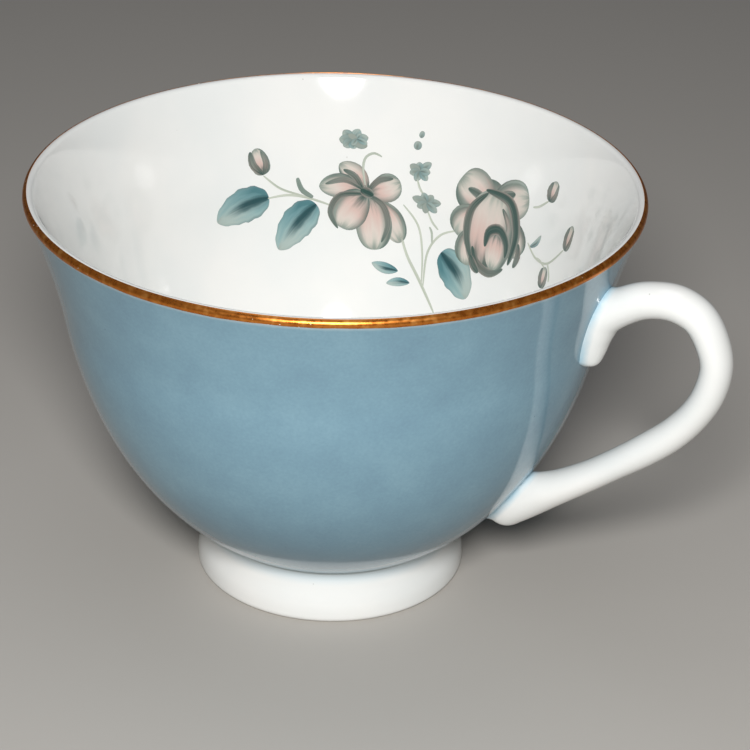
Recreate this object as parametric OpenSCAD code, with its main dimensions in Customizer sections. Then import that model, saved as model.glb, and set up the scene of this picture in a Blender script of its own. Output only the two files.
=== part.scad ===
// Footed bone-china teacup: a bell-shaped bowl on a flared foot ring, with a curled handle,
// a blue ground colour outside, a gilt line on the lip and a printed rose spray inside.
// Millimetres, +Z up. The origin is on the bowl's axis, at the surface the foot stands on.
// The handle lies along +X, and the spray is printed inside, on the wall near +Y.

/* [Bowl] */
// Diameter over the lip
rim_d = 101; // [96:0.5:106]
// Height of the lip above the table
cup_h = 70; // [66:0.5:76]
// Diameter of the wall at its steepest, below the flare of the lip
waist_d = 89.8; // [88:0.1:91]
// Height of the steepest part of the wall
waist_h = 50; // [48:0.5:52]
// Slope of the wall there, from the horizontal
waist_slope = 80.5; // [78:0.5:84]
// Slope of the wall where it reaches the lip
lip_slope = 67; // [60:1:74]
// Thickness of the china at the lip
lip_t = 1.8; // [1.6:0.1:2.2]
// Thickness of the china in the belly
belly_t = 2.4; // [2.2:0.1:2.8]

/* [Foot] */
// Diameter of the crease between bowl and foot
crease_d = 43.4; // [42.6:0.1:44.4]
// Height of the crease above the table
crease_h = 9; // [8.6:0.1:9.4]
// Slope of the bowl just above the crease, from the horizontal
crease_slope = 33; // [31:1:36]
// Largest diameter of the foot
foot_d = 46; // [45:0.5:48]
// Width of the flat ring that stands on the table
standing_w = 1.6; // [1.2:0.1:2]

/* [Handle] */
// Number of sides of the handle's oval section
handle_sides = 24; // [16:4:28]
// Rings between two stations of the handle
handle_steps = 5; // [3:1:6]

/* [Coats and joints] */
// Thickness of the blue ground colour under its glaze
ground_t = 0.2; // [0.15:0.05:0.25]
// Thickness of the gilding
gilt_t = 0.06; // [0.05:0.01:0.1]
// Thickness of the printed transfer colours
print_t = 0.1; // [0.06:0.01:0.14]
// Direction of the middle of the printed spray, in degrees round from the handle
spray_turn = 96; // [60:1:300]

/* [Hidden] */
$fn = 96;

china = [0.95, 0.95, 0.93];
blue = [0.44, 0.58, 0.64];
gold = [0.72, 0.50, 0.22];
teal = [0.30, 0.47, 0.50];
rose_pink = [0.80, 0.72, 0.68];
stem_green = [0.52, 0.58, 0.52];

rim_r = rim_d / 2;
waist_r = waist_d / 2;
crease_r = crease_d / 2;
lip_r = lip_t / 2;
// The lip is a round bead: its centre, and the height where the bowl's underside crosses the axis
lip_c = [rim_r - lip_r, cup_h - lip_r];
base_h = crease_h - 3.6;

function dir(a) = [cos(a), sin(a)];
function bezier(p, t) = pow(1 - t, 3) * p[0] + 3 * pow(1 - t, 2) * t * p[1]
    + 3 * (1 - t) * t * t * p[2] + t * t * t * p[3];
function bezier_slope(p, t) = pow(1 - t, 2) * (p[1] - p[0])
    + 2 * (1 - t) * t * (p[2] - p[1]) + t * t * (p[3] - p[2]);

// Three curves, end to end, are the outside of the bowl: the underside, the belly and the flare
waist = [waist_r, waist_h];
crease = [crease_r, crease_h];
lip_edge = lip_c + lip_r * dir(lip_slope - 90);
under_curve = [[0, base_h], [10, base_h], crease - 6 * dir(crease_slope), crease];
belly_curve = [crease, crease + 8.5 * dir(crease_slope), waist - 25 * dir(waist_slope), waist];
flare_curve = [waist, waist + 5 * dir(waist_slope), lip_edge - 5.5 * dir(lip_slope), lip_edge];

// Points along a curve, moved inwards by d0 at its start and d1 at its end, square to the curve
function inset(p, d0, d1, steps) = [
    for (i = [0:steps])
        let (t = i / steps, s = bezier_slope(p, t), n = [-s[1], s[0]] / norm(s))
        bezier(p, t) + (d0 + (d1 - d0) * t) * n
];
function flipped(v) = [for (i = [len(v) - 1:-1:0]) v[i]];
function on_axis(v) = concat([[0, v[0][1]]], [for (i = [1:len(v) - 1]) v[i]]);
function wall_line(d_belly, d_lip) = concat(
    inset(belly_curve, d_belly, d_belly, 16),
    [for (i = [1:8]) inset(flare_curve, d_belly, d_lip, 8)[i]]
);
function bowl_line(d_belly, d_lip) = concat(
    on_axis(inset(under_curve, d_belly, d_belly, 6)),
    [for (i = [1:len(wall_line(d_belly, d_lip)) - 1]) wall_line(d_belly, d_lip)[i]]
);

// The inner face of the wall, and the body's face under the blue ground
inner_line = bowl_line(belly_t, lip_t);
body_line = bowl_line(ground_t, ground_t);
outer_line = bowl_line(0, 0);

// ---- bowl --------------------------------------------------------------------------------

module bowl() {
    color(china)
        rotate_extrude() {
            polygon(concat(body_line, flipped(inner_line)));
            translate(lip_c) circle(lip_r);
        }
}

// ---- foot --------------------------------------------------------------------------------

foot_r = foot_d / 2;
neck_r = crease_r - 0.5;
foot_round = 1;
foot_curve = [
    [neck_r, crease_h + 1], [neck_r, crease_h - 4.5], [foot_r, 5.2], [foot_r, foot_round]
];
stand_r = foot_r - foot_round - standing_w;
recess_top_r = stand_r - 1.3;

function arc(c, r, a0, a1, steps) = [for (i = [0:steps]) c + r * dir(a0 + (a1 - a0) * i / steps)];
foot_outline = concat(
    inset(foot_curve, 0, 0, 8),
    arc([foot_r - foot_round, foot_round], foot_round, -15, -90, 5),
    [[stand_r, 0], [recess_top_r, crease_h]]
);

// The region above a line that starts on the axis
module above(line) {
    polygon(concat(line, [[line[len(line) - 1][0], cup_h + 5], [0, cup_h + 5]]));
}

module foot_ring() {
    color(china)
        rotate_extrude()
            difference() {
                polygon(foot_outline);
                above(outer_line);
            }
}

// Slip that lutes the foot to the underside of the bowl, wiped back a little from both edges
slip_margin = 0.2;
module foot_slip() {
    color(china)
        rotate_extrude()
            intersection() {
                difference() {
                    above(outer_line);
                    above(body_line);
                }
                translate([recess_top_r + slip_margin, 0])
                    square([neck_r - recess_top_r - 2 * slip_margin, cup_h]);
            }
}

// ---- handle ------------------------------------------------------------------------------

// Stations along the middle of the handle, from the tail that lies on the wall, over the top
// and down to the lower end inside the wall: [x, z, thickness, width]
handle_line = [
    [44.9, 47.9, 1.0, 1.6],
    [45.2, 48.9, 4.0, 3.8],
    [45.5, 51.0, 5.2, 5.2],
    [46.2, 54.0, 5.8, 6.4],
    [47.8, 57.4, 6.3, 7.0],
    [51.9, 60.3, 6.0, 6.8],
    [55.5, 61.6, 5.8, 6.6],
    [59.3, 61.8, 5.8, 6.6],
    [62.8, 60.3, 5.6, 6.4],
    [65.1, 57.1, 5.4, 6.3],
    [66.4, 52.8, 5.2, 6.2],
    [65.7, 47.9, 5.2, 6.2],
    [63.6, 43.4, 5.1, 6.2],
    [60.3, 39.1, 5.2, 6.3],
    [56.1, 35.2, 5.2, 6.4],
    [51.4, 31.4, 4.9, 6.4],
    [46.7, 27.8, 5.0, 6.6],
    [42.0, 24.6, 5.6, 6.8],
    [37.7, 22.0, 6.8, 6.8],
    [34.0, 19.2, 6.8, 6.4],
    [31.7, 17.3, 5.9, 5.2],
    [29.6, 16.4, 1.6, 2.6]
];

function catmull(a, b, c, d, t) = 0.5 * (2 * b + (c - a) * t
    + (2 * a - 5 * b + 4 * c - d) * t * t + (3 * b - a - 3 * c + d) * t * t * t);
function station(i) = handle_line[max(0, min(len(handle_line) - 1, i))];
function along(s) = let (i = min(floor(s), len(handle_line) - 2))
    catmull(station(i - 1), station(i), station(i + 1), station(i + 2), s - i);

handle_rings = (len(handle_line) - 1) * handle_steps;
function handle_ring(j) =
    let (
        s = j / handle_steps,
        c = along(s),
        d = along(min(s + 0.05, len(handle_line) - 1)) - along(max(s - 0.05, 0)),
        n = [-d[1], d[0]] / norm([d[0], d[1]])
    )
    [for (k = [0:handle_sides - 1])
        let (a = 360 * k / handle_sides, h = c[2] / 2 * cos(a))
        [c[0] + n[0] * h, c[3] / 2 * sin(a), c[1] + n[1] * h]];

module handle_sweep() {
    last = handle_rings * handle_sides;
    polyhedron(
        points = [for (j = [0:handle_rings]) each handle_ring(j)],
        faces = concat(
            [[for (k = [0:handle_sides - 1]) k]],
            [for (j = [0:handle_rings - 1], k = [0:handle_sides - 1])
                let (a = j * handle_sides + k, b = j * handle_sides + (k + 1) % handle_sides)
                each [[a, a + handle_sides, b], [b, a + handle_sides, b + handle_sides]]],
            [[for (k = [handle_sides - 1:-1:0]) last + k]]
        )
    );
}

module handle() {
    color(china)
        difference() {
            handle_sweep();
            rotate_extrude() above(outer_line);
        }
}

// Slot-shaped prism along +X, with round ends, that bounds a slip joint
module slot_prism(z_low, z_high, w) {
    r = w / 2;
    rotate([90, 0, 90])
        linear_extrude(rim_r) {
            translate([-r, z_low + r]) square([w, z_high - z_low - w]);
            translate([0, z_low + r]) circle(r);
            translate([0, z_high - r]) circle(r);
        }
}
slip_w = 4;
upper_slip = [50.6, 59.4];
lower_slip = [17.6, 25.2];

// The ground colour's layer, as a closed shell all the way round
module ground_shell() {
    rotate_extrude()
        polygon(concat(wall_line(0, 0), flipped(wall_line(ground_t, ground_t))));
}

module handle_slip(span) {
    color(china)
        intersection() {
            ground_shell();
            slot_prism(span[0], span[1], slip_w);
        }
}
module handle_slip_upper() handle_slip(upper_slip);
module handle_slip_lower() handle_slip(lower_slip);

// ---- coats -------------------------------------------------------------------------------

module blue_ground() {
    color(blue)
        difference() {
            ground_shell();
            slot_prism(upper_slip[0], upper_slip[1], slip_w);
            slot_prism(lower_slip[0], lower_slip[1], slip_w);
        }
}

// The gilding wraps the outer quarter of the lip's bead
gilt_from = lip_slope - 90;
gilt_to = 72;
module gilt_rim_line() {
    reach = 2 * lip_t;
    color(gold)
        rotate_extrude()
            translate(lip_c)
                intersection() {
                    difference() {
                        circle(lip_r + gilt_t);
                        circle(lip_r);
                    }
                    polygon([[0, 0], reach * dir(gilt_from), reach * dir(20), reach * dir(gilt_to)]);
                }
}

// ---- printed spray -----------------------------------------------------------------------

// Layer of colour on the inner face, between two heights
module print_shell() {
    rotate_extrude()
        difference() {
            above(inner_line);
            above(bowl_line(belly_t + print_t, lip_t + print_t));
        }
}

// Cuts a flat outline out of the print layer. The outline's x runs round the wall towards the
// handle, in millimetres from the middle of the spray, and its y is the height of its centre.
print_r = waist_r - belly_t;
module printed(x, z) {
    intersection() {
        print_shell();
        rotate(spray_turn - x / print_r * 180 / PI)
            translate([0, 0, z])
                rotate([90, 0, 90])
                    linear_extrude(rim_r)
                        mirror([1, 0, 0]) children();
    }
}

// Pointed oval between two tips, made of two arcs
module lens(l, w) {
    r = (l * l / w + w) / 4;
    intersection() {
        translate([0, r - w / 2]) circle(r);
        translate([0, w / 2 - r]) circle(r);
    }
}

// Petals are discs set round a centre
module petals(count, reach, r, turn = 0) {
    for (i = [0:count - 1])
        rotate(turn + i * 360 / count) translate([reach, 0]) circle(r);
    circle(reach);
}

module print_rose() {
    color(rose_pink) printed(14.6, 49) {
        circle(6.6);
        translate([-4.4, 3.6]) circle(4.2);
        translate([4.6, 3.9]) circle(4.1);
        translate([0.6, -4.2]) circle(5);
    }
}
module print_open_flower() {
    color(rose_pink) printed(-9.2, 48) petals(5, 4.6, 3.7, 54);
}
module print_top_blossom() {
    color(teal) printed(-13.2, 59.6) petals(5, 1.5, 1, 18);
}
module print_small_blossoms() {
    color(teal) {
        printed(-0.6, 60) circle(0.8);
        printed(-0.4, 55.2) petals(5, 1.2, 0.8, 18);
        printed(2.2, 49.8) petals(5, 1.4, 0.9, 0);
    }
}
module print_leaf(x, z, l, w, turn) {
    color(teal) printed(x, z) rotate(turn) lens(l, w);
}
module print_leaf_left() print_leaf(-32.6, 47.8, 11.5, 6, 14);
module print_leaf_middle() print_leaf(-21.6, 43.6, 9.6, 5.6, 48);
module print_leaf_right() print_leaf(9.2, 38, 8.4, 5, -34);
module print_leaflets() {
    print_leaf(-4.8, 37.2, 4.6, 1.6, 8);
    print_leaf(-2, 34.6, 4.2, 1.4, 12);
    print_leaf(26.6, 49.2, 3.4, 1.4, 50);
}
module print_bud_left() print_leaf(-29.2, 55.2, 4.6, 3.2, 100);
module print_buds_right() {
    print_leaf(28.2, 58.2, 3.6, 2.2, 70);
    print_leaf(35.2, 52.8, 4.2, 2.4, 75);
    print_leaf(30.2, 44.4, 3.2, 2.2, 70);
}

// Straight stem between two points given as in printed(), drawn as a narrow slot
stem_w = 0.5;
module stem(a, b) {
    m = (a + b) / 2;
    d = b - a;
    l = norm(d) + stem_w;
    printed(m[0], m[1]) rotate(atan2(d[1], d[0])) square([l, stem_w], center = true);
}
stem_runs = [
    [[6.4, 31], [2.2, 35.8], [-2.8, 40.2]],
    [[2.2, 35.8], [1.6, 41], [2.2, 47.4]],
    [[-25.8, 50.6], [-20.8, 49], [-17.6, 48.4]],
    [[-26.6, 53.6], [-20.8, 49]],
    [[25, 52.6], [27.4, 56.2]],
    [[25, 47], [29.4, 46], [33.6, 51.2]]
];
module print_stems() {
    color(stem_green)
        for (run = stem_runs, i = [0:len(run) - 2])
            stem(run[i], run[i + 1]);
}

bowl();
foot_ring();
foot_slip();
handle();
handle_slip_upper();
handle_slip_lower();
blue_ground();
gilt_rim_line();
print_rose();
print_open_flower();
print_top_blossom();
print_small_blossoms();
print_leaf_left();
print_leaf_middle();
print_leaf_right();
print_leaflets();
print_bud_left();
print_buds_right();
print_stems();
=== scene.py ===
"""A footed china teacup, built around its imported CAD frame.

White bone china, a grey-blue ground colour outside, a gilt line on the lip and a printed rose spray
inside. Metres, +Z up, the foot stands on z = 0, the handle lies along +X and the spray is near +Y.
"""
import math
import random

import bmesh
import bpy
from mathutils import Matrix, Vector


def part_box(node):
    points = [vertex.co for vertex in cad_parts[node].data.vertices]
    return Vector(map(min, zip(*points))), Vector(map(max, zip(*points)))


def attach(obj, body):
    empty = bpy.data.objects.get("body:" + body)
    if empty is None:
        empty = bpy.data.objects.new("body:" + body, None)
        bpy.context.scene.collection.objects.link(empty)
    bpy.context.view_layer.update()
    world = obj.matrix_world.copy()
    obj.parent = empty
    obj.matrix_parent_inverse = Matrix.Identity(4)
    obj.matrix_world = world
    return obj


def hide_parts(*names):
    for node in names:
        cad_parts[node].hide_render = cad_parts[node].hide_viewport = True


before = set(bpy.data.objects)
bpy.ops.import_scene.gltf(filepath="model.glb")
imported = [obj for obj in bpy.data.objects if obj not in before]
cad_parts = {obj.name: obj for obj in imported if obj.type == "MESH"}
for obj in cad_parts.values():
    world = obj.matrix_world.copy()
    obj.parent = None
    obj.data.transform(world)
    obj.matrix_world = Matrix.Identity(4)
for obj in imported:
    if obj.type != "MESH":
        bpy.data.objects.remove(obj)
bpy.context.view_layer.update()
random.seed(7)

MM = 0.001

# ---- sizes -------------------------------------------------------------------------------------
# The radius and height of the lip, the height of the crease and the radius of the foot come from
# the frame. The rest are the design's own. All are in millimetres and degrees.

gilt_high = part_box("gilt_rim_line")[1] / MM
blue_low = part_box("blue_ground")[0] / MM
foot_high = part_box("foot_ring")[1] / MM

# Thickness of the gilding and of the ground colour, and of the wall at the lip and below
GILT_T = 0.06
GROUND_T = 0.2
LIP_T = 1.8
BELLY_T = 2.4

# The wall runs from the crease above the foot through the waist to the lip. Slopes are from level.
RIM_R = round(gilt_high.x - GILT_T, 2)
CUP_H = round(gilt_high.z, 1)
CREASE_R = 21.7
CREASE_H = round(blue_low.z, 1)
CREASE_SLOPE = 33
WAIST_R = 44.9
WAIST_H = 50
WAIST_SLOPE = 80.5
LIP_SLOPE = 67

# The middle of the underside is this far below the crease.
BASE_DROP = 3.6

# How far each curve of the bowl is drawn along the slope at its lower and at its upper end
UNDER_PULLS = 10, 6
BELLY_PULLS = 8.5, 25
FLARE_PULLS = 5, 5.5

# Foot: its radius, the rounding of its edge, the standing ring's width and the rounding inside it
FOOT_R = round(foot_high.x, 1)
FOOT_ROUND = 1.0
STANDING_W = 1.6
STANDING_ROUND = 0.25

# Neck: its radius, its rise into the bowl, how far below the crease its curve is drawn straight
# down, and the height up to which the foot's flank is drawn straight up
NECK_R = CREASE_R - 0.5
NECK_RISE = 1
NECK_PULL = 4.5
FLANK_H = 5.2

# The glaze pools on the neck down to POOL_DROP below the crease. The hollow inside the standing
# ring narrows by RECESS_IN up to RECESS_DROP below the crease, and goes on into the bowl's wall.
POOL_DROP = 1.0
RECESS_IN = 1.0
RECESS_DROP = 1.8

# The gilding's reach over the lip's round edge, in degrees, and how deep it is bedded
GILT_FROM = LIP_SLOPE - 90
GILT_TO = 72
GILT_BED = 0.02

# How far its lower edge is raised, in degrees over the lip, and the waves of that edge: size in
# degrees, number round the cup, phase
GILT_LIFT = 3
GILT_WAVES = [(2.5, 9, 0), (1.8, 23, 1), (1.2, 61, 0)]

# Steps round the cup and round its gilding, and how close points are merged
TURNS = 192
GILT_TURNS = 288
MERGE = 0.001


def polar(degrees, length):
    a = math.radians(degrees)
    return Vector((math.cos(a), math.sin(a))) * length


LIP_R = LIP_T / 2
LIP_C = Vector((RIM_R - LIP_R, CUP_H - LIP_R))
WAIST = Vector((WAIST_R, WAIST_H))
CREASE = Vector((CREASE_R, CREASE_H))
LIP_EDGE = LIP_C + polar(LIP_SLOPE - 90, LIP_R)
BASE_H = CREASE_H - BASE_DROP

# Bezier curves: the underside, the wall up to the waist, and the wall from there to the lip
UNDER = [Vector((0, BASE_H)), Vector((UNDER_PULLS[0], BASE_H)),
         CREASE - polar(CREASE_SLOPE, UNDER_PULLS[1]), CREASE]
BELLY = [CREASE, CREASE + polar(CREASE_SLOPE, BELLY_PULLS[0]),
         WAIST - polar(WAIST_SLOPE, BELLY_PULLS[1]), WAIST]
FLARE = [WAIST, WAIST + polar(WAIST_SLOPE, FLARE_PULLS[0]),
         LIP_EDGE - polar(LIP_SLOPE, FLARE_PULLS[1]), LIP_EDGE]


def inset(curve, start, end, steps):
    """Points along a Bezier curve, moved inwards by start at its start and by end at its end."""
    a, b, c, d = curve
    points = []
    for i in range(steps + 1):
        t = i / steps
        u = 1 - t
        point = a * u**3 + b * 3 * u * u * t + c * 3 * u * t * t + d * t**3
        slope = (b - a) * u * u + (c - b) * 2 * u * t + (d - c) * t * t
        inward = Vector((-slope.y, slope.x)).normalized()
        points.append(point + inward * (start + (end - start) * t))
    return points


def wall_line(belly, lip):
    """The wall from crease to lip, inset by belly up to the waist and by lip at the lip."""
    return inset(BELLY, belly, belly, steps=40)[:-1] + inset(FLARE, belly, lip, steps=20)


def bowl_line(belly, lip):
    """The same, begun at the axis with the underside."""
    under = inset(UNDER, belly, belly, steps=12)
    under[0].x = 0
    return under[:-1] + wall_line(belly, lip)


def arc(centre, radius, start, end, steps):
    """Points round a centre, from start to end in degrees."""
    return [centre + polar(start + (end - start) * i / steps, radius) for i in range(steps + 1)]


OUTER_LINE = bowl_line(0, 0)
INNER_LINE = bowl_line(BELLY_T, LIP_T)


def on_spline(points, place):
    """A place on a smooth line through the points: 0 is the first point, 1 the next."""
    last = len(points) - 1
    i = min(int(place), last - 1)
    u = place - i
    a, b, c, d = (Vector(points[max(0, min(last, i + k))]) for k in (-1, 0, 1, 2))
    bend = (2 * a - 5 * b + 4 * c - d) * u * u + (3 * b - a - 3 * c + d) * u**3
    return 0.5 * (2 * b + (c - a) * u + bend)


def radius_at(line, z):
    """Radius of a wall at a height, in millimetres."""
    for low, high in zip(line, line[1:]):
        if low.y <= z <= high.y:
            return low.x + (high.x - low.x) * (z - low.y) / (high.y - low.y)
    return line[-1].x


# ---- modelling helpers -------------------------------------------------------------------------


def deselect():
    bpy.ops.object.select_all(action="DESELECT")


def edit(piece):
    """Opens a piece in edit mode with all of it selected."""
    deselect()
    piece.select_set(True)
    bpy.context.view_layer.objects.active = piece
    bpy.ops.object.mode_set(mode="EDIT")
    bpy.ops.mesh.select_all(action="SELECT")


def smooth(degrees):
    """Leaves edit mode and shades the active piece smooth, except over edges sharper than this."""
    bpy.ops.object.mode_set(mode="OBJECT")
    bpy.ops.object.shade_smooth_by_angle(angle=math.radians(degrees))


def turned(name, outline, turns=TURNS):
    """A closed outline of (radius, height) in millimetres, spun about the axis into a solid."""
    deselect()
    bpy.ops.mesh.primitive_circle_add(vertices=len(outline))
    piece = bpy.context.object
    piece.name = name
    for vertex, point in zip(piece.data.vertices, outline):
        vertex.co = Vector((point.x, 0, point.y)) * MM
    edit(piece)
    bpy.ops.mesh.spin(steps=turns, angle=math.tau, center=(0, 0, 0), axis=(0, 0, 1))
    bpy.ops.mesh.select_all(action="SELECT")
    bpy.ops.mesh.remove_doubles(threshold=MERGE * MM)
    bpy.ops.mesh.delete_loose(use_verts=True, use_edges=True, use_faces=False)
    bpy.ops.mesh.select_all(action="SELECT")
    bpy.ops.mesh.normals_make_consistent(inside=False)
    smooth(degrees=40)
    return piece


def apply_modifier(piece, kind, **settings):
    deselect()
    piece.select_set(True)
    bpy.context.view_layer.objects.active = piece
    modifier = piece.modifiers.new(kind.title(), kind)
    for key, value in settings.items():
        setattr(modifier, key, value)
    bpy.ops.object.modifier_apply(modifier=modifier.name)


def finish_piece(piece, slot, *nodes):
    """Hides the CAD nodes that the piece stands for and hangs it on the root body. slot is not
    used.
    """
    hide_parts(*nodes)
    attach(piece, "root")


# ---- materials ---------------------------------------------------------------------------------


def srgb(code):
    """Linear colour of an sRGB hex value."""
    channels = [int(code[i : i + 2], 16) / 255 for i in (1, 3, 5)]
    return [c / 12.92 if c <= 0.04045 else ((c + 0.055) / 1.055) ** 2.4 for c in channels] + [1.0]


def every(size):
    """Scale of a pattern whose features are this many millimetres across."""
    return 1 / (size * MM)


def add(tree, kind, links=(), out=None, stops=(), **settings):
    """Adds a node and returns its output named out, or else the first one in use.

    links feeds the inputs, by name or in order, each with a value or another node's output. A map
    range takes them as the value, the range that it is read in and the range that it becomes.
    stops are the (position, sRGB hex) pairs of a colour ramp.
    """
    made = tree.nodes.new("ShaderNode" + kind)
    for key, value in settings.items():
        setattr(made, key, value)
    for key, value in links.items() if isinstance(links, dict) else enumerate(links):
        if isinstance(value, bpy.types.NodeSocket):
            tree.links.new(value, made.inputs[key])
        else:
            made.inputs[key].default_value = value
    for i, (position, code) in enumerate(stops):
        elements = made.color_ramp.elements
        element = elements[i] if i < 2 else elements.new(position)
        element.position = position
        element.color = srgb(code)
    return made.outputs[out] if out else next(socket for socket in made.outputs if socket.enabled)


def new_material(name, **values):
    """A material, its node tree and its Principled shader, with the values on plain sockets."""
    material = bpy.data.materials.new(name)
    material.use_nodes = True
    shader = material.node_tree.nodes["Principled BSDF"]
    for key, value in values.items():
        shader.inputs[key].default_value = value
    return material, material.node_tree, shader


GLAZE = {"IOR": 1.5, "Roughness": 0.07}
SOFT = {"interpolation_type": "SMOOTHSTEP"}


def china_colour(tree, coords):
    """Bone china under clear glaze: a warm white, faintly clouded, with a few pinhead specks."""
    cloud = add(tree, "TexNoise", {"Vector": coords, "Scale": every(18), "Detail": 3})
    white = add(tree, "ValToRGB", [cloud], stops=[(0.35, "#EDEDEA"), (0.65, "#E7E9E7")])
    speck = add(tree, "TexVoronoi", {"Vector": coords, "Scale": every(6)})
    spot = add(tree, "MapRange", [speck, 0.014, 0.022, 0.5, 0], **SOFT)
    return add(tree, "Mix", {"Factor": spot, "A": white, "B": srgb("#8C8576")}, data_type="RGBA")


def glaze_relief(tree, shader, coords):
    """A fired glaze isn't quite flat: it waves over about 12 mm and has a fine orange-peel."""
    wave = add(tree, "TexNoise", {"Vector": coords, "Scale": every(12), "Detail": 1})
    peel = add(tree, "TexNoise", {"Vector": coords, "Scale": every(1.6), "Detail": 1})
    height = add(tree, "Math", [peel, 0.06, wave], operation="MULTIPLY_ADD")
    relief = add(tree, "Bump", {"Height": height, "Strength": 1.0, "Distance": 0.05 * MM})
    tree.links.new(relief, shader.inputs["Normal"])


def bone_china():
    """Cast bone china, clear glazed: a warm, slightly clouded white with a wet gloss."""
    material, tree, shader = new_material("glazed_bone_china", **GLAZE)
    coords = add(tree, "TexCoord", out="Object")
    tree.links.new(china_colour(tree, coords), shader.inputs["Base Color"])
    glaze_relief(tree, shader, coords)
    return material


def foot_china():
    """The same china. Its neck has a painted reflection of the blue ground, and a dark line at the
    crease that is partly grey pooled glaze and partly painted shadow. Its wiped standing ring is
    dry, creamy and a little dirty."""
    material, tree, shader = new_material("bone_china_with_dry_foot", **GLAZE)
    coords = add(tree, "TexCoord", out="Object")
    height = add(tree, "SeparateXYZ", [coords], out="Z")
    # Painted reflection of the blue ground, strongest just under the crease.
    blue_reflection = add(tree, "MapRange",
                [height, (CREASE_H - 3) * MM, (CREASE_H - 0.8) * MM, 0, 0.55], **SOFT)
    # A dark line just under the crease: partly grey pooled glaze, partly painted shadow.
    pooled = add(tree, "MapRange",
                 [height, (CREASE_H - 0.6) * MM, (CREASE_H - 0.1) * MM, 0, 0.75], **SOFT)
    white = china_colour(tree, coords)
    neck = add(tree, "Mix", {"Factor": blue_reflection, "A": white, "B": srgb("#BCD2DC")}, data_type="RGBA")
    glazed = add(tree, "Mix", {"Factor": pooled, "A": neck, "B": srgb("#6E7A78")}, data_type="RGBA")

    wiped = add(tree, "TexNoise", {"Vector": coords, "Scale": every(2), "Detail": 2})
    ragged = add(tree, "Math", [wiped, -0.12 * MM, height], operation="MULTIPLY_ADD")
    dry = add(tree, "MapRange", [ragged, 0, 0.1 * MM, 1, 0], **SOFT)
    grain = add(tree, "TexNoise", {"Vector": coords, "Scale": every(0.7), "Detail": 4})
    grime = add(tree, "ValToRGB", [grain], stops=[(0.35, "#C9BFA9"), (0.6, "#E6DFCF")])
    colour = add(tree, "Mix", {"Factor": dry, "A": glazed, "B": grime}, data_type="RGBA")
    tree.links.new(colour, shader.inputs["Base Color"])
    gloss = add(tree, "MapRange", [dry, 0, 1, GLAZE["Roughness"], 0.6])
    tree.links.new(gloss, shader.inputs["Roughness"])
    glaze_relief(tree, shader, coords)
    return material


def handle_china():
    """The same china, whose glaze takes a breath of blue where it runs into the ground colour."""
    material, tree, shader = new_material("bone_china_with_blue_edge", **GLAZE)
    coords = add(tree, "TexCoord", out="Object")
    near = add(tree, "Attribute", out="Fac", attribute_name="near_wall")
    patches = add(tree, "TexNoise", {"Vector": coords, "Scale": every(3), "Detail": 2})
    bleed = add(tree, "MapRange", [patches, 0.3, 0.7, 0.6, 1], **SOFT)
    uneven = add(tree, "Math", [near, bleed], operation="MULTIPLY")
    white = china_colour(tree, coords)
    colour = add(tree, "Mix", {"Factor": uneven, "A": white, "B": srgb("#A9CBDA")},
                 data_type="RGBA")
    tree.links.new(colour, shader.inputs["Base Color"])
    glaze_relief(tree, shader, coords)
    return material


def fired_slip():
    """Slip fired in the joint: the body's own white, dry and granular."""
    material, tree, shader = new_material("fired_slip", IOR=1.5, Roughness=0.7)
    coords = add(tree, "TexCoord", out="Object")
    grain = add(tree, "TexNoise", {"Vector": coords, "Scale": every(0.5), "Detail": 4})
    colour = add(tree, "ValToRGB", [grain], stops=[(0.3, "#E2DFD4"), (0.7, "#F0EEE6")])
    tree.links.new(colour, shader.inputs["Base Color"])
    relief = add(tree, "Bump", {"Height": grain, "Strength": 1.0, "Distance": 0.03 * MM})
    tree.links.new(relief, shader.inputs["Normal"])
    return material


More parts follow.
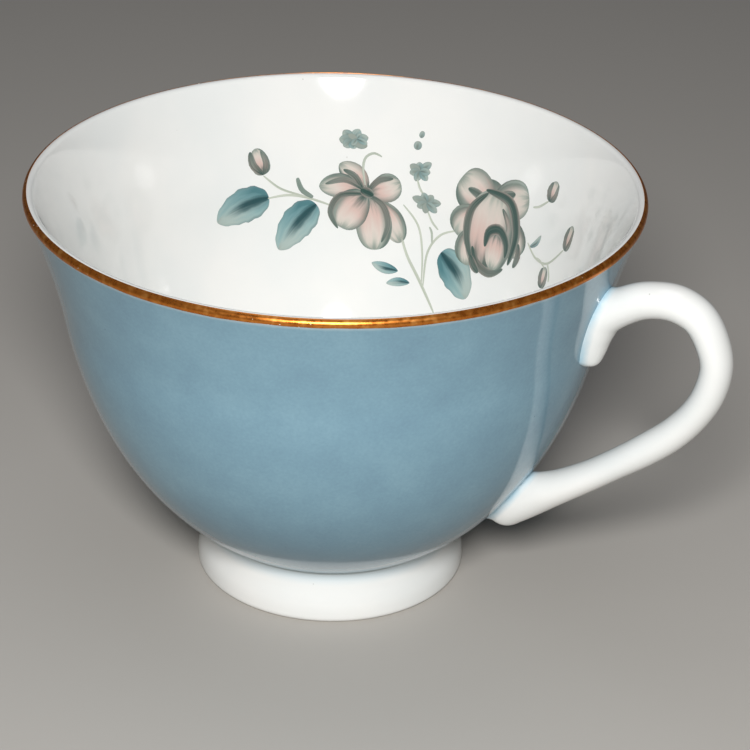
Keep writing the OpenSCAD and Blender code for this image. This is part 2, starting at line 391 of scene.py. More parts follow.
def blue_ground():
    """Grey-blue ground colour, spray-coated and glazed: softly mottled, with painted shade
    darkening it towards the foot, a pale thin edge under the lip, a pale band at the crease, and a
    dark line at the crease that is partly grey pooled glaze and partly painted shadow."""
    material, tree, shader = new_material("glazed_blue_ground", IOR=1.45, Roughness=0.09)
    coords = add(tree, "TexCoord", out="Object")
    height = add(tree, "SeparateXYZ", [coords], out="Z")
    cloud = add(tree, "TexNoise",
                {"Vector": coords, "Scale": every(9), "Detail": 4, "Roughness": 0.6})
    grain = add(tree, "TexNoise", {"Vector": coords, "Scale": every(0.5), "Detail": 2})
    tone = add(tree, "Mix", {"Factor": 0.35, "A": cloud, "B": grain})
    body = add(tree, "ValToRGB", [tone],
               stops=[(0.3, "#7495A7"), (0.5, "#7A9DAE"), (0.7, "#82A5B5")])
    # Painted shade: darker towards the foot, over 26 mm up from the crease.
    painted_low_shade = add(tree, "MapRange", [height, CREASE_H * MM, (CREASE_H + 26) * MM, 0.62, 0], **SOFT)
    mottled_and_shaded = add(tree, "Mix", {"Factor": painted_low_shade, "A": body, "B": srgb("#526C7B")}, data_type="RGBA")

    wander = add(tree, "TexNoise", {"Vector": coords, "Scale": every(1.2), "Detail": 2})
    ragged = add(tree, "Math", [wander, 0.3 * MM, height], operation="MULTIPLY_ADD")
    lip = add(tree, "MapRange", [ragged, (LIP_EDGE.y - 0.55) * MM, (LIP_EDGE.y + 0.1) * MM], **SOFT)
    crease = add(tree, "MapRange",
                 [ragged, (CREASE_H + 0.3) * MM, (CREASE_H + 1.2) * MM, 0.8, 0], **SOFT)
    edge = add(tree, "Math", [lip, crease], operation="MAXIMUM")
    thin = add(tree, "Math", [edge, 0.7], operation="MULTIPLY")
    paled = add(tree, "Mix", {"Factor": thin, "A": mottled_and_shaded, "B": srgb("#A9BCC2")}, data_type="RGBA")
    # A dark line just over the crease: partly grey pooled glaze, partly painted shadow.
    pool = add(tree, "MapRange",
               [ragged, (CREASE_H + 0.3) * MM, (CREASE_H + 0.5) * MM, 0.85, 0], **SOFT)
    pooled = add(tree, "Mix", {"Factor": pool, "A": paled, "B": srgb("#4C5B5C")}, data_type="RGBA")

    speck = add(tree, "TexVoronoi", {"Vector": coords, "Scale": every(4.5)})
    spot = add(tree, "MapRange", [speck, 0.018, 0.03, 0.55, 0], **SOFT)
    colour = add(tree, "Mix", {"Factor": spot, "A": pooled, "B": srgb("#3F5560")}, data_type="RGBA")
    tree.links.new(colour, shader.inputs["Base Color"])
    glaze_relief(tree, shader, coords)
    return material


def fired_gilding():
    """Best gold, brushed on and old, rubbed through to white in pinholes. Its orange-brown is
    gold's own colour, deepened as painted reflection of dark surroundings.
    """
    material, tree, shader = new_material("burnished_gilding")
    coords = add(tree, "TexCoord", out="Object")
    brushed = add(tree, "TexNoise", {"Vector": coords, "Scale": every(1.1), "Detail": 3})
    # Deeper and browner than gold's own colour: painted reflection of dark surroundings.
    gold = add(tree, "ValToRGB", [brushed],
               stops=[(0.3, "#B5641F"), (0.55, "#C87A30"), (0.75, "#DE9A50")])
    rubbed = add(tree, "TexNoise",
                 {"Vector": coords, "Scale": every(0.5), "Detail": 3, "Roughness": 0.65})
    where = add(tree, "TexNoise", {"Vector": coords, "Scale": every(9), "Detail": 1})
    wear = add(tree, "Math", [where, 0.4, rubbed], operation="MULTIPLY_ADD")
    worn = add(tree, "MapRange", [wear, 0.93, 0.97], **SOFT)
    colour = add(tree, "Mix", {"Factor": worn, "A": gold, "B": srgb("#E9E4D6")}, data_type="RGBA")
    tree.links.new(colour, shader.inputs["Base Color"])
    metal = add(tree, "MapRange", [worn, 0, 1, 0.82, 0])
    tree.links.new(metal, shader.inputs["Metallic"])
    gloss = add(tree, "MapRange", [brushed, 0.3, 0.7, 0.24, 0.38], **SOFT)
    tree.links.new(gloss, shader.inputs["Roughness"])
    relief = add(tree, "Bump", {"Height": brushed, "Strength": 1.0, "Distance": 0.005 * MM})
    tree.links.new(relief, shader.inputs["Normal"])
    return material


# Streaks across and along a stroke: on a petal of 4 to 10 mm, seven are about a millimetre wide
# each. STREAK_PUSH is how far they push its colours about, as a share of its length or half width.
STREAKS = 7, 1.6, 1
STREAK_PUSH = 0.28


def brush_streaks(tree):
    """The streaks that a brush leaves along a stroke, about 0.5 and different in each stroke."""
    uv = add(tree, "TexCoord", out="UV")
    stretched = add(tree, "Mapping", {"Vector": uv, "Scale": STREAKS})
    seed = add(tree, "Attribute", out="Fac", attribute_name="seed")
    return add(tree, "TexNoise", {"Vector": stretched, "W": seed, "Scale": 1, "Detail": 3},
               noise_dimensions="4D")


def brushwork(tree, streaks):
    """What a stroke's colour follows: side to side (-1 to 1), along it from base (0) to tip (1),
    and out from its middle line (0 to 1). The streaks push the last two about."""
    push = add(tree, "MapRange", [streaks, 0, 1, -STREAK_PUSH, STREAK_PUSH])
    uv = add(tree, "TexCoord", out="UV")
    sideways = add(tree, "SeparateXYZ", [uv], out="X")
    lengthways = add(tree, "SeparateXYZ", [uv], out="Y")
    across = add(tree, "Math", [sideways, 2, -1], operation="MULTIPLY_ADD")
    outwards = add(tree, "Math", [across], operation="ABSOLUTE")
    along = add(tree, "Math", [lengthways, push], operation="ADD")
    off = add(tree, "Math", [outwards, push], operation="ADD")
    return across, along, off


def petal_colour():
    """Transfer-printed petals: dusty pink, paling outwards, edged with brushed grey-green."""
    material, tree, shader = new_material("printed_petal_pink", **GLAZE)
    streaks = brush_streaks(tree)
    across, along, off = brushwork(tree, streaks)
    wash = add(tree, "ValToRGB", [along],
               stops=[(0.1, "#A59A93"), (0.4, "#D2B8AF"), (0.65, "#D6CAC1"), (0.95, "#BFC1B6")])
    # A petal is inked more heavily along one side: "side" says which, and 0 inks both.
    side = add(tree, "Attribute", out="Fac", attribute_name="side")
    lean = add(tree, "Math", [across, side], operation="MULTIPLY")
    spared = add(tree, "Math", [lean, -0.6, 0.0], operation="MULTIPLY_ADD", use_clamp=True)
    inked = add(tree, "Math", [off, spared], operation="SUBTRACT")
    edge = add(tree, "MapRange", [inked, 0.3, 0.85], **SOFT)
    tip = add(tree, "MapRange", [along, 0.74, 1.0, 0, 0.75], **SOFT)
    throat = add(tree, "MapRange", [along, 0.05, 0.38, 1, 0], **SOFT)
    rim = add(tree, "Math", [edge, tip], operation="MAXIMUM")
    drawn = add(tree, "Math", [rim, throat], operation="MAXIMUM")
    outlined = add(tree, "Math", [drawn, 0.88], operation="MULTIPLY")
    # A shading stroke, whose "shade" is near 1, is ink all over and thins at its own edges.
    brushed = add(tree, "MapRange", [off, 0.35, 1.05, 1, 0.6], **SOFT)
    shade = add(tree, "Attribute", out="Fac", attribute_name="shade")
    level = add(tree, "Mix", {"Factor": shade, "A": outlined, "B": brushed})
    ink = add(tree, "ValToRGB", [streaks],
              stops=[(0.32, "#32504A"), (0.5, "#566E67"), (0.7, "#8C9A91")])
    heavy = add(tree, "Math", [shade, 0.7], operation="MULTIPLY")
    loaded = add(tree, "Mix", {"Factor": heavy, "A": ink, "B": srgb("#29443F")}, data_type="RGBA")
    colour = add(tree, "Mix", {"Factor": level, "A": wash, "B": loaded}, data_type="RGBA")
    tree.links.new(colour, shader.inputs["Base Color"])
    glaze_relief(tree, shader, add(tree, "TexCoord", out="Object"))
    return material


def leaf_colour():
    """Transfer-printed leaves: teal, nearly black along the rib, light on one half, grey-edged."""
    material, tree, shader = new_material("printed_leaf_teal", **GLAZE)
    across, along, off = brushwork(tree, brush_streaks(tree))
    lit = add(tree, "MapRange", [across, -0.35, 0.55, 0.25, -0.2], **SOFT)
    tone = add(tree, "Math", [along, lit], operation="ADD")
    blade = add(tree, "ValToRGB", [tone],
                stops=[(0.0, "#507C82"), (0.27, "#73999D"), (0.55, "#91AEAE"), (1.0, "#A9B9B4")])
    rib = add(tree, "MapRange", [off, 0.0, 0.55, 0.95, 0], **SOFT)
    fades = add(tree, "MapRange", [along, 0.35, 0.85, 1, 0], **SOFT)
    deep = add(tree, "Math", [rib, fades], operation="MULTIPLY")
    ribbed = add(tree, "Mix", {"Factor": deep, "A": blade, "B": srgb("#23474C")}, data_type="RGBA")
    shade = add(tree, "Attribute", out="Fac", attribute_name="shade")
    tip = add(tree, "MapRange", [along, 0.8, 1.1, 0, 0.7], **SOFT)
    grey = add(tree, "Math", [tip, shade], operation="ADD", use_clamp=True)
    greyed = add(tree, "Mix", {"Factor": grey, "A": ribbed, "B": srgb("#979F96")}, data_type="RGBA")
    edge = add(tree, "MapRange", [off, 0.8, 1.05, 0, 0.6], **SOFT)
    colour = add(tree, "Mix", {"Factor": edge, "A": greyed, "B": srgb("#6F8583")}, data_type="RGBA")
    tree.links.new(colour, shader.inputs["Base Color"])
    glaze_relief(tree, shader, add(tree, "TexCoord", out="Object"))
    return material


def stem_colour():
    """Fine transfer-printed stems: pale grey-green, broken like a dry brush."""
    material, tree, shader = new_material("printed_stem_green", **GLAZE)
    ink = add(tree, "ValToRGB", [brush_streaks(tree)],
              stops=[(0.3, "#A3AC9E"), (0.5, "#BCC2B4"), (0.7, "#D6D8CD")])
    shade = add(tree, "Attribute", out="Fac", attribute_name="shade")
    colour = add(tree, "Mix", {"Factor": shade, "A": ink, "B": srgb("#4F6C66")}, data_type="RGBA")
    tree.links.new(colour, shader.inputs["Base Color"])
    glaze_relief(tree, shader, add(tree, "TexCoord", out="Object"))
    return material


CHINA = bone_china()
FOOT_CHINA = foot_china()
HANDLE_CHINA = handle_china()
SLIP = fired_slip()
BLUE = blue_ground()
GOLD = fired_gilding()
PETAL = petal_colour()
LEAF = leaf_colour()
STEM = stem_colour()

# ---- bowl, foot and coats ----------------------------------------------------------------------


def china_bowl():
    body = bowl_line(GROUND_T, GROUND_T)
    bead = arc(LIP_C, LIP_R, LIP_SLOPE - 90, LIP_SLOPE + 90, steps=16)
    piece = turned("china_bowl", body + bead + INNER_LINE[-2::-1])
    piece.data.materials.append(CHINA)
    finish_piece(piece, "bone_china", "bowl")


def china_foot():
    curve = [Vector((NECK_R, CREASE_H + NECK_RISE)), Vector((NECK_R, CREASE_H - NECK_PULL)),
             Vector((FOOT_R, FLANK_H)), Vector((FOOT_R, FOOT_ROUND))]
    side = [p for p in inset(curve, 0, 0, steps=24) if p.y < CREASE_H - POOL_DROP]
    # Glaze pools in the crease, so the neck turns out to meet the edge of the blue.
    pooled = [CREASE + Vector((0.02, 0.05)), CREASE + Vector((-0.25, -0.25)),
              side[0] + Vector((-0.02, 0.7)), side[0]]
    pool = inset(pooled, 0, 0, steps=6)[:-1]
    edge = arc(Vector((FOOT_R - FOOT_ROUND, FOOT_ROUND)), FOOT_ROUND, 0, -90, steps=8)[1:]
    stand_r = FOOT_R - FOOT_ROUND - STANDING_W
    inner_edge = arc(Vector((stand_r + 0.15, STANDING_ROUND)), STANDING_ROUND, -90, -170, steps=4)
    recess_top = [Vector((stand_r - RECESS_IN, CREASE_H - RECESS_DROP))]
    # The outline closes inside the bowl's wall, where it can't be seen.
    hidden = [Vector((stand_r - 1.3, CREASE_H - 0.2)), CREASE + Vector((-0.6, 0.1))]
    piece = turned("china_foot", pool + side + edge + inner_edge + recess_top + hidden)
    piece.data.materials.append(FOOT_CHINA)
    finish_piece(piece, "bone_china", "foot_ring")


def blue_coat():
    piece = turned("blue_coat", wall_line(0, 0) + wall_line(GROUND_T, GROUND_T)[::-1])
    piece.data.materials.append(BLUE)
    finish_piece(piece, "blue_ground", "blue_ground")


def gilt_line():
    outer = arc(LIP_C, LIP_R + GILT_T, GILT_FROM, GILT_TO, steps=18)
    inner = arc(LIP_C, LIP_R - GILT_BED, GILT_TO, GILT_FROM, steps=18)
    piece = turned("gilt_line", outer + inner, GILT_TURNS)
    # The brush leaves a lower edge that wanders by about a tenth of a millimetre.
    for vertex in piece.data.vertices:
        around = math.atan2(vertex.co.y, vertex.co.x)
        radius = math.hypot(vertex.co.x, vertex.co.y)
        spoke = Vector((radius / MM, vertex.co.z / MM)) - LIP_C
        angle = math.degrees(math.atan2(spoke.y, spoke.x))
        reach = (GILT_TO - angle) / (GILT_TO - GILT_FROM)
        wander = sum(size * math.sin(count * around + phase) for size, count, phase in GILT_WAVES)
        angle += (GILT_LIFT + wander) * reach**3
        point = LIP_C + polar(angle, spoke.length)
        vertex.co = Vector((math.cos(around) * point.x, math.sin(around) * point.x, point.y)) * MM
    piece.data.materials.append(GOLD)
    finish_piece(piece, "gilding", "gilt_rim_line")


# ---- handle ------------------------------------------------------------------------------------

# Stations along the middle of the handle, from the tail on the wall, over the top and down to the
# lower end inside the wall: x, z, thickness, width in millimetres
HANDLE_LINE = [
    (44.9, 47.9, 1.0, 1.6), (45.2, 48.9, 4.0, 3.8), (45.5, 51.0, 5.2, 5.2), (46.2, 54.0, 5.8, 6.4),
    (47.8, 57.4, 6.3, 7.0), (51.9, 60.3, 6.0, 6.8), (55.5, 61.6, 5.8, 6.6), (59.3, 61.8, 5.8, 6.6),
    (62.8, 60.3, 5.6, 6.4), (65.1, 57.1, 5.4, 6.3), (66.4, 52.8, 5.2, 6.2), (65.7, 47.9, 5.2, 6.2),
    (63.6, 43.4, 5.1, 6.2), (60.3, 39.1, 5.2, 6.3), (56.1, 35.2, 5.2, 6.4), (51.4, 31.4, 4.9, 6.4),
    (46.7, 27.8, 5.0, 6.6), (42.0, 24.6, 5.6, 6.8), (37.7, 22.0, 6.8, 6.8), (34.0, 19.2, 6.8, 6.4),
    (31.7, 17.3, 5.9, 5.2), (29.6, 16.4, 1.6, 2.6),
]
HANDLE_END = len(HANDLE_LINE) - 1

# Points round the handle, rings and points of its middle line from one station to the next, and
# the share of a station over which its slope is taken
HANDLE_SIDES = 32
HANDLE_STEPS = 5
MIDDLE_STEPS = 8
SLOPE_STEP = 0.05

# Width of the fillet at the wall, and how close to the middle line a point has to be to stay put
FILLET = 1.3
CLOSE = 0.1

# The blue bleeds into the handle's glaze over BLEED from the wall. Its strength there is over 1,
# which keeps it full for a little way.
BLEED = 1.1
BLEED_STRENGTH = 1.15


def handle_ring(s):
    """Points round the handle's section at station s, in metres."""
    x, z, thickness, width = on_spline(HANDLE_LINE, s)
    ahead = on_spline(HANDLE_LINE, min(s + SLOPE_STEP, HANDLE_END))
    behind = on_spline(HANDLE_LINE, max(s - SLOPE_STEP, 0))
    along = Vector((ahead[0] - behind[0], ahead[1] - behind[1])).normalized()
    ring = []
    for k in range(HANDLE_SIDES):
        a = math.tau * k / HANDLE_SIDES
        out = thickness / 2 * math.cos(a)
        ring.append(Vector((x - along.y * out, width / 2 * math.sin(a), z + along.x * out)) * MM)
    return ring


def wall_distance(point):
    """Millimetres from the cup's outer wall to a point in metres, and the wall's normal there."""
    spot = Vector((math.hypot(point.x, point.y), point.z)) / MM
    best, normal = None, None
    for low, high in zip(OUTER_LINE, OUTER_LINE[1:]):
        run = high - low
        t = max(0, min(1, (spot - low).dot(run) / run.length_squared))
        gap = spot - (low + run * t)
        if best is None or gap.length < abs(best):
            normal = Vector((run.y, -run.x)).normalized()
            best = math.copysign(gap.length, gap.dot(normal))
    return best, normal


def china_handle():
    deselect()
    bpy.ops.mesh.primitive_circle_add(vertices=HANDLE_SIDES, fill_type="NGON")
    piece = bpy.context.object
    piece.name = "china_handle"
    ring = handle_ring(0)
    for vertex, place in zip(piece.data.vertices, ring):
        vertex.co = place
    edit(piece)
    for j in range(1, HANDLE_END * HANDLE_STEPS + 1):
        bpy.ops.mesh.extrude_region_move()
        mesh = bmesh.from_edit_mesh(piece.data)
        next_ring = handle_ring(j / HANDLE_STEPS)
        for vertex in [v for v in mesh.verts if v.select]:
            k = min(range(HANDLE_SIDES), key=lambda i: (vertex.co - ring[i]).length_squared)
            vertex.co = next_ring[k]
        bmesh.update_edit_mesh(piece.data)
        ring = next_ring
    bpy.ops.mesh.select_all(action="SELECT")
    bpy.ops.mesh.normals_make_consistent(inside=False)
    smooth(degrees=40)
    apply_modifier(piece, "SUBSURF", levels=1, render_levels=1)

    # Glaze and slip fill the angle where the handle meets the wall: it flares out along the wall.
    middles = [on_spline(HANDLE_LINE, i / MIDDLE_STEPS)
               for i in range(HANDLE_END * MIDDLE_STEPS + 1)]
    for vertex in piece.data.vertices:
        distance, normal = wall_distance(vertex.co)
        if distance > FILLET:
            continue
        spread = (FILLET - max(distance, 0)) ** 2 / (2 * FILLET)
        x, z = vertex.co.x / MM, vertex.co.z / MM
        middle = min(middles, key=lambda m: (m[0] - x) ** 2 + (m[1] - z) ** 2)
        outward = Vector((normal.x, 0, normal.y))
        away = Vector((x - middle[0], vertex.co.y / MM, z - middle[1]))
        away -= outward * away.dot(outward)
        if away.length > CLOSE:
            vertex.co += away.normalized() * spread * MM

    # What is inside the cup's outer wall is cut away.
    top = CUP_H + 5
    cutter = turned("cutter", OUTER_LINE + [Vector((RIM_R, top)), Vector((0, top))])
    apply_modifier(piece, "BOOLEAN", object=cutter, operation="DIFFERENCE", solver="EXACT")
    bpy.data.objects.remove(cutter)
    near = piece.data.attributes.new("near_wall", "FLOAT", "POINT")
    for vertex in piece.data.vertices:
        distance = abs(wall_distance(vertex.co)[0])
        near.data[vertex.index].value = max(0, min(1, BLEED_STRENGTH - distance / BLEED))
    edit(piece)
    smooth(degrees=50)
    piece.data.materials.clear()
    piece.data.materials.append(HANDLE_CHINA)
    finish_piece(piece, "bone_china", "handle")


# ---- printed spray -----------------------------------------------------------------------------

# Each painted stroke lies between a base and a tip, given as (millimetres round the wall from the
# middle of the spray towards the handle, height above the table). Later strokes lie over earlier
# ones.
PRINT_R = WAIST_R - BELLY_T
SPRAY_TURN = 96

# A motif's first stroke is lifted this far off the wall and each later one a step more. Each is
# PRINT_T thick.
FIRST_LIFT = 0.022
LIFT_STEP = 0.005
PRINT_T = 0.03

# Steps of a stroke's mesh along it and across it: for each millimetre, at least and at most. Each
# tooth of a leaf's edge takes TOOTH_STEPS of them and stands out by this share of the half width.
LENGTH_STEPS = 2.4, 10, 40
WIDTH_STEPS = 2.5, 4, 12
TOOTH_STEPS = 5
TOOTH = 0.045

# The share of a stroke over which its slope is taken, and the half width that its ends keep
SLOPE_SHARE = 0.01
END_W = 0.02

# Each stroke's brush marks are drawn this far from those of the stroke before.
SEED_STEP = 3.7


def on_wall(x, z, lift):
    """The place in metres of a point of the spray, lifted off the inside wall."""
    angle = math.radians(SPRAY_TURN) - x / PRINT_R
    radius = radius_at(INNER_LINE, z) - lift
    return Vector((math.cos(angle) * radius, math.sin(angle) * radius, z)) * MM


def mesh_steps(size, per_mm, least, most):
    return max(least, min(most, int(size * per_mm)))


def eased(share):
    """Spreads even steps so that they are finer at both ends."""
    return (1 - math.cos(math.pi * share)) / 2


def stroke(layer, points, width, bend=0.0, blunt=0.6, widest=0.5, teeth=0, shade=0.0, side=0.0):
    """One brush stroke or petal, as a thin closed patch on the wall, from its base to its tip.

    bend bows a stroke of two points to the left, blunt rounds its ends (1 is a point), widest is
    where it is broadest, teeth notches its edge, shade darkens it and side inks one side of it.
    """
    points = [Vector(point) for point in points]
    run = points[-1] - points[0]
    if bend:
        points.insert(1, (points[0] + points[1]) / 2 + Vector((-run.y, run.x)).normalized() * bend)
    last = len(points) - 1
    length = sum((b - a).length for a, b in zip(points, points[1:]))
    steps = max(mesh_steps(length, *LENGTH_STEPS), teeth * TOOTH_STEPS)
    sides = mesh_steps(width, *WIDTH_STEPS)
    power = math.log(0.5) / math.log(widest)
    deselect()
    bpy.ops.mesh.primitive_grid_add(x_subdivisions=sides, y_subdivisions=steps, size=2,
                                    calc_uvs=True)
    piece = bpy.context.object
    lift = FIRST_LIFT + LIFT_STEP * layer
    for vertex in piece.data.vertices:
        t = eased((vertex.co.y + 1) / 2)
        ahead = on_spline(points, min(t + SLOPE_SHARE, 1) * last)
        slope = ahead - on_spline(points, max(t - SLOPE_SHARE, 0) * last)
        square = Vector((slope.y, -slope.x)).normalized()
        half = width / 2 * max(math.sin(math.pi * t**power), 0) ** blunt + END_W
        if teeth:
            half *= 1 + TOOTH * math.sin(math.tau * teeth * t)
        place = on_spline(points, t * last) + square * vertex.co.x * half
        vertex.co = on_wall(place.x, place.y, lift)
    for loop in piece.data.uv_layers.active.data:
        loop.uv.y = eased(loop.uv.y)
    for name, value in (("shade", shade), ("side", side), ("seed", layer * SEED_STEP)):
        for item in piece.data.attributes.new(name, "FLOAT", "POINT").data:
            item.value = value
    # The printed side faces the axis.
    centre = piece.data.polygons[len(piece.data.polygons) // 2]
    if centre.normal.dot(Vector((centre.center.x, centre.center.y, 0))) > 0:
        piece.data.flip_normals()
    apply_modifier(piece, "SOLIDIFY", thickness=PRINT_T * MM, offset=-1)
    return piece


def printed(name, slot, material, *nodes, strokes):
    """Joins the strokes of one motif into one piece, each stroke a layer above the one before."""
    made = [stroke(layer, points, width, **shape)
            for layer, (points, width, shape) in enumerate(strokes)]
    deselect()
    for part in made:
        part.select_set(True)
    piece = made[0]
    bpy.context.view_layer.objects.active = piece
    if len(made) > 1:
        bpy.ops.object.join()
    piece.name = name
    edit(piece)
    smooth(degrees=30)
    piece.data.materials.append(material)
    finish_piece(piece, slot, *nodes)


def dab(base, tip, width, **shape):
    """A stroke from a base to a tip, as printed() takes it: its points, its width and its shape."""
    return [base, tip], width, shape


def stem(points, width=0.36, **shape):
    """A fine line through the points, of nearly even width."""
    return points, width, dict(shape, blunt=0.3)


def leaves():
    printed("leaf_left", "print_teal", LEAF, "print_leaf_left", strokes=[
        dab((-27.1, 49.4), (-37.4, 46.4), 6.2, bend=-0.5, blunt=0.7, widest=0.42, teeth=5)])
    printed("leaf_middle", "print_teal", LEAF, "print_leaf_middle", strokes=[
        dab((-18.4, 47.7), (-25.8, 40.0), 6.0, bend=-0.4, blunt=0.7, widest=0.42, teeth=5)])
    printed("leaf_right", "print_teal", LEAF, "print_leaf_right", strokes=[
        dab((6.0, 41.4), (13.3, 34.9), 6.2, bend=0.4, blunt=0.65, widest=0.45, teeth=4)])
    printed("leaflets", "print_teal", LEAF, "print_leaflets", strokes=[
        dab((-2.2, 36.8), (-7.6, 37.7), 1.9, bend=0.2, blunt=0.9),
        dab((0.5, 35.1), (-4.3, 34.5), 1.5, bend=-0.2, blunt=0.9),
        dab((25.2, 47.8), (27.6, 50.8), 1.0, bend=-0.4, blunt=0.9, shade=0.3)])


def rose():
    printed("rose", "print_pink", PETAL, "print_rose", strokes=[
        dab((14.6, 51.0), (14.8, 56.4), 5.6, bend=0.3, widest=0.6, shade=0.75),
        dab((14.4, 49.6), (7.9, 55.2), 8.0, bend=-0.8, blunt=0.5, widest=0.6, side=-0.4),
        dab((13.9, 50.6), (9.6, 53.8), 1.7, bend=-0.9, shade=0.9),
        dab((15.4, 50.4), (22.6, 55.6), 7.0, bend=0.9, blunt=0.5, widest=0.6, side=-0.5),
        dab((14.4, 51.4), (19.4, 55.4), 2.2, bend=0.5, shade=0.9),
        dab((16.2, 49.6), (23.0, 45.2), 6.4, bend=0.9, widest=0.6, side=-0.5),
        dab((13.8, 49.8), (8.6, 45.2), 6.6, bend=-0.9, widest=0.6, side=0.4),
        dab((13.6, 47.6), (11.6, 40.4), 6.0, bend=-0.9, blunt=0.7, widest=0.6, side=0.4),
        dab((15.4, 40.0), (15.8, 54.8), 10.8, blunt=0.5, side=0.7),
        ([(13.2, 54.4), (18.8, 53.6), (21.4, 48.8), (20.9, 43.0)], 2.1, {"shade": 1.0}),
        ([(13.8, 54.0), (10.9, 50.4), (10.7, 45.4), (13.0, 41.0)], 1.6, {"shade": 0.9}),
        ([(12.2, 44.0), (13.8, 41.4), (17.0, 40.4), (20.0, 42.0)], 1.6, {"shade": 0.85}),
        ([(17.4, 52.2), (19.4, 49.6), (19.4, 46.4)], 1.2, {"shade": 0.55}),
        dab((17.5, 47.8), (17.4, 41.2), 5.0, bend=0.3, blunt=0.5, side=-0.8),
        ([(14.9, 44.6), (15.3, 47.4), (17.6, 48.3), (19.6, 46.4), (19.9, 44.0)], 2.0,
         {"shade": 1.0}),
        dab((12.2, 42.4), (14.6, 39.8), 1.6, bend=-0.3, shade=0.95),
        dab((22.4, 47.4), (22.3, 43.0), 1.3, bend=0.5, shade=0.85),
    ])


def open_flower():
    printed("open_flower", "print_pink", PETAL, "print_open_flower", strokes=[
        dab((-8.4, 49.0), (-2.2, 41.8), 4.4, bend=0.8, widest=0.6, side=-0.7),
        dab((-9.4, 50.0), (-14.3, 55.0), 4.2, bend=-0.5, blunt=0.75, side=-0.5),
        dab((-9.6, 50.2), (-17.9, 51.0), 4.4, bend=-0.5, blunt=0.75, widest=0.55, side=0.4),
        dab((-9.2, 50.2), (-3.2, 52.4), 5.2, bend=-0.3, widest=0.58, side=-0.4),
        dab((-9.0, 49.6), (-7.2, 40.0), 6.8, bend=0.4, blunt=0.5, widest=0.56, side=-0.4),
        dab((-9.4, 49.8), (-13.9, 43.6), 6.8, bend=-0.5, blunt=0.5, widest=0.54, side=0.3),
        ([(-9.6, 49.8), (-14.0, 49.4), (-15.8, 46.4), (-14.4, 43.4)], 1.2, {"shade": 0.85}),
        ([(-9.4, 49.8), (-6.2, 48.0), (-5.0, 44.6), (-6.0, 41.4)], 1.2, {"shade": 0.8}),
        ([(-9.8, 50.4), (-11.4, 52.8), (-13.6, 54.0)], 1.1, {"shade": 0.85}),
        ([(-10.0, 50.6), (-13.2, 52.2), (-16.8, 51.4)], 1.0, {"shade": 0.75}),
        ([(-9.2, 50.2), (-7.2, 52.4), (-4.6, 53.0)], 1.1, {"shade": 0.8}),
        dab((-10.4, 50.6), (-8.0, 49.6), 1.8, shade=1.0),
    ])


def bud(centre, length, width, lean):
    """A closed bud on its stalk: a pink petal between two grey-green sepals."""
    x, z = centre
    dx, dz = (c * length / 2 for c in (math.sin(math.radians(lean)), math.cos(math.radians(lean))))
    foot, head = (x - dx, z - dz), (x + dx, z + dz)
    left, right = ((head[0] + side * width, head[1] - 0.1 * length) for side in (-0.3, 0.26))
    return [
        dab(foot, head, width, widest=0.42, side=0.3),
        dab(foot, left, 0.4 * width, bend=0.22 * width, shade=0.8),
        dab(foot, right, 0.28 * width, bend=-0.18 * width, shade=0.7),
    ]


def buds():
    printed("bud_left", "print_pink", PETAL, "print_bud_left", strokes=(
        bud((-28.4, 55.9), 4.8, 3.4, -14)))
    printed("buds_right", "print_pink", PETAL, "print_buds_right", strokes=(
        bud((27.6, 58.6), 3.7, 2.6, 6)
        + bud((35.3, 53.3), 4.6, 2.4, 6)
        + bud((30.7, 44.3), 3.8, 2.4, 0)))


def blossom(centre, reach, count, turn, flat=0.75):
    """A tiny flower of a few short dabs, seen a little from the side."""
    x, z = centre
    dabs = []
    for i in range(count):
        a = math.radians(turn + i * 360 / count)
        length = reach * random.uniform(0.65, 1.1)
        tip = (x + math.cos(a) * length, z + math.sin(a) * length * flat)
        dabs.append(dab((x, z), tip, reach * 0.5, blunt=0.8, shade=random.uniform(0.3, 1)))
    return dabs


def blossoms():
    printed("top_blossom", "print_teal", LEAF, "print_top_blossom", strokes=(
        blossom((-12.1, 59.1), 3.5, 7, 20, 0.62) + blossom((-11.4, 59.4), 1.9, 4, 60)))
    printed("small_blossoms", "print_teal", LEAF, "print_small_blossoms", strokes=(
        [dab((-1.0, 58.5), (-0.7, 60.0), 1.4, shade=0.6),
         dab((-0.5, 60.6), (-0.2, 61.8), 0.9, shade=0.6)]
        + blossom((0.1, 55.0), 2.8, 7, 50)
        + blossom((2.0, 49.6), 2.9, 7, 10)))


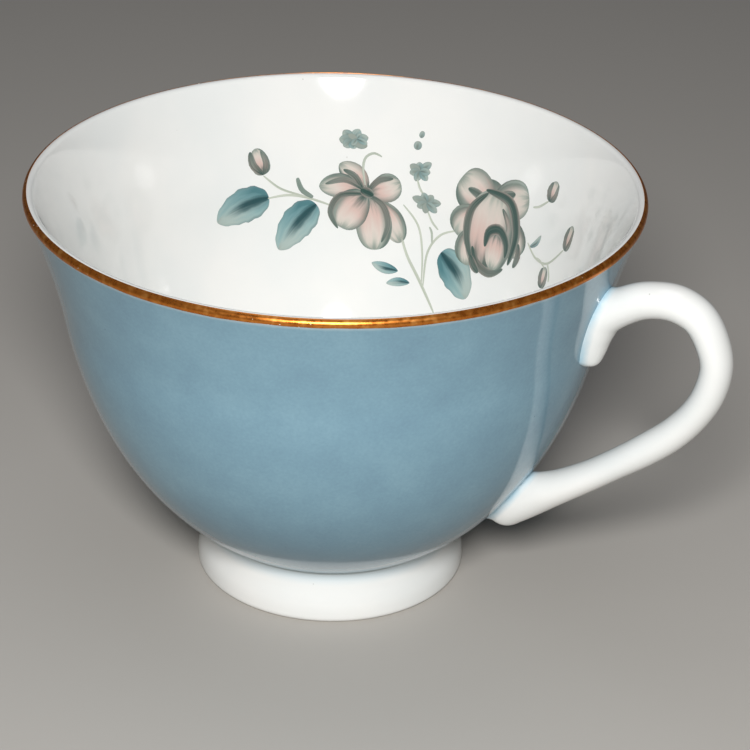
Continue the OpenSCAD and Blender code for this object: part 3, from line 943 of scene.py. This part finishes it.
def stems():
    printed("stems", "print_green", STEM, "print_stems", strokes=[
        stem([(6.9, 31.0), (4.4, 33.6), (2.1, 36.2), (-0.8, 39.8), (-2.8, 44.2)], 0.54),
        stem([(3.0, 35.0), (2.2, 40.6), (0.8, 45.2), (-2.4, 48.6)], 0.36),
        stem([(3.4, 34.8), (3.2, 40.6), (5.2, 44.2), (8.4, 45.8)], 0.4),
        stem([(3.9, 42.6), (3.6, 44.4), (3.0, 45.4)], 0.4, shade=0.2),
        stem([(-27.3, 49.3), (-23.6, 49.6), (-20.2, 49.0), (-15.4, 47.4)], 0.42),
        stem([(-27.9, 53.4), (-24.8, 50.8), (-20.4, 49.2)], 0.36),
        stem([(-21.8, 52.6), (-21.0, 50.4), (-19.0, 49.0)], 0.9, shade=0.7),
        stem([(-9.6, 51.4), (-10.1, 54.2), (-9.8, 56.2), (-8.4, 57.1), (-6.9, 56.6)], 0.42,
             shade=0.15),
        stem([(-0.2, 53.4), (0.4, 52.0), (1.4, 50.8)], 0.36),
        stem([(2.4, 48.0), (3.4, 46.4), (4.8, 45.2)], 0.36),
        stem([(24.0, 54.6), (25.4, 55.2), (27.2, 56.8)], 0.36),
        stem([(24.6, 48.4), (27.4, 46.6), (31.0, 47.0), (34.8, 51.0)], 0.36),
        stem([(27.6, 46.7), (28.8, 46.6), (30.4, 46.0)], 0.36),
        stem([(31.0, 47.0), (32.2, 45.4), (32.6, 44.2)], 0.36),
    ])


china_bowl()
china_foot()
blue_coat()
gilt_line()
china_handle()
leaves()
rose()
open_flower()
buds()
blossoms()
stems()

# The slip joints are hidden in the joins, so their CAD solids stay as they are.
for node in ("foot_slip", "handle_slip_upper", "handle_slip_lower"):
    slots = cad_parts[node].data.materials
    slots.clear()
    slots.append(SLIP)

# ---- floor, light and camera -------------------------------------------------------------------

FLOOR_PAINT = {"Base Color": srgb("#B7B3AD"), "Roughness": 0.75}


def floor():
    """A plain pale floor in matt paint, wide enough to fill every view."""
    deselect()
    bpy.ops.mesh.primitive_plane_add(size=6, location=(0, 0, 0))
    piece = bpy.context.object
    piece.name = "floor"
    piece.data.materials.append(new_material("pale_studio_floor", **FLOOR_PAINT)[0])


def area_light(name, place, target, size, power, colour):
    """A round soft light at a place in metres, turned to its target."""
    deselect()
    bpy.ops.object.light_add(type="AREA", location=place)
    light = bpy.context.object
    light.name = name
    light.rotation_euler = (Vector(target) - Vector(place)).to_track_quat("-Z", "Y").to_euler()
    light.data.shape = "DISK"
    light.data.size = size
    light.data.energy = power
    light.data.color = srgb(colour)[:3]


def sky():
    """A dim, even grey all round, which fills the shadows."""
    world = bpy.data.worlds.new("studio")
    world.use_nodes = True
    background = world.node_tree.nodes["Background"]
    background.inputs["Color"].default_value = srgb("#B9BDC0")
    background.inputs["Strength"].default_value = 0.1
    bpy.context.scene.world = world


# The camera in metres and degrees, with its lens and its sensor in millimetres. It looks a little
# past its aim, by CAMERA_YAW, and leans by CAMERA_ROLL.
CAMERA_DISTANCE = 0.430
CAMERA_AZIMUTH = 26
CAMERA_ELEVATION = 27.57
CAMERA_AIM = Vector((0, 0, 0.03495))
CAMERA_YAW = 0.943
CAMERA_ROLL = 0.94
CAMERA_NEAR = 0.01
CAMERA_LENS = 122.4
CAMERA_SENSOR = 36


def camera():
    """Looks down into the cup from the front, with the handle turned towards it."""
    level = polar(CAMERA_AZIMUTH - 90, math.cos(math.radians(CAMERA_ELEVATION)))
    back = Vector((level.x, level.y, math.sin(math.radians(CAMERA_ELEVATION))))
    right = back.cross(Vector((0, 0, -1))).normalized()
    up = back.cross(right)
    yaw, roll = math.radians(CAMERA_YAW), math.radians(CAMERA_ROLL)
    away = (back * math.cos(yaw) - right * math.sin(yaw)).normalized()
    side = up.cross(away)
    turned_side = side * math.cos(roll) + up * math.sin(roll)
    turned_up = up * math.cos(roll) - side * math.sin(roll)
    deselect()
    bpy.ops.object.camera_add()
    made = bpy.context.object
    made.name = "camera"
    made.data.lens = CAMERA_LENS
    made.data.sensor_width = CAMERA_SENSOR
    made.data.clip_start = CAMERA_NEAR
    facing = Matrix((turned_side, turned_up, away)).transposed().to_4x4()
    made.matrix_world = Matrix.Translation(CAMERA_AIM + back * CAMERA_DISTANCE) @ facing
    bpy.context.scene.camera = made


sky()
floor()
area_light("key", place=(0.18, -0.40, 0.34), target=(0, 0, 0.04),
           size=0.14, power=3.05, colour="#FFFEFD")
area_light("top", place=(-0.1, 0.1, 0.9), target=(0, 0, 0.03),
           size=0.5, power=0.8, colour="#F6F8FF")
camera()

# Colours are shown as they are lit, without a film curve.
bpy.context.scene.view_settings.view_transform = "Standard"
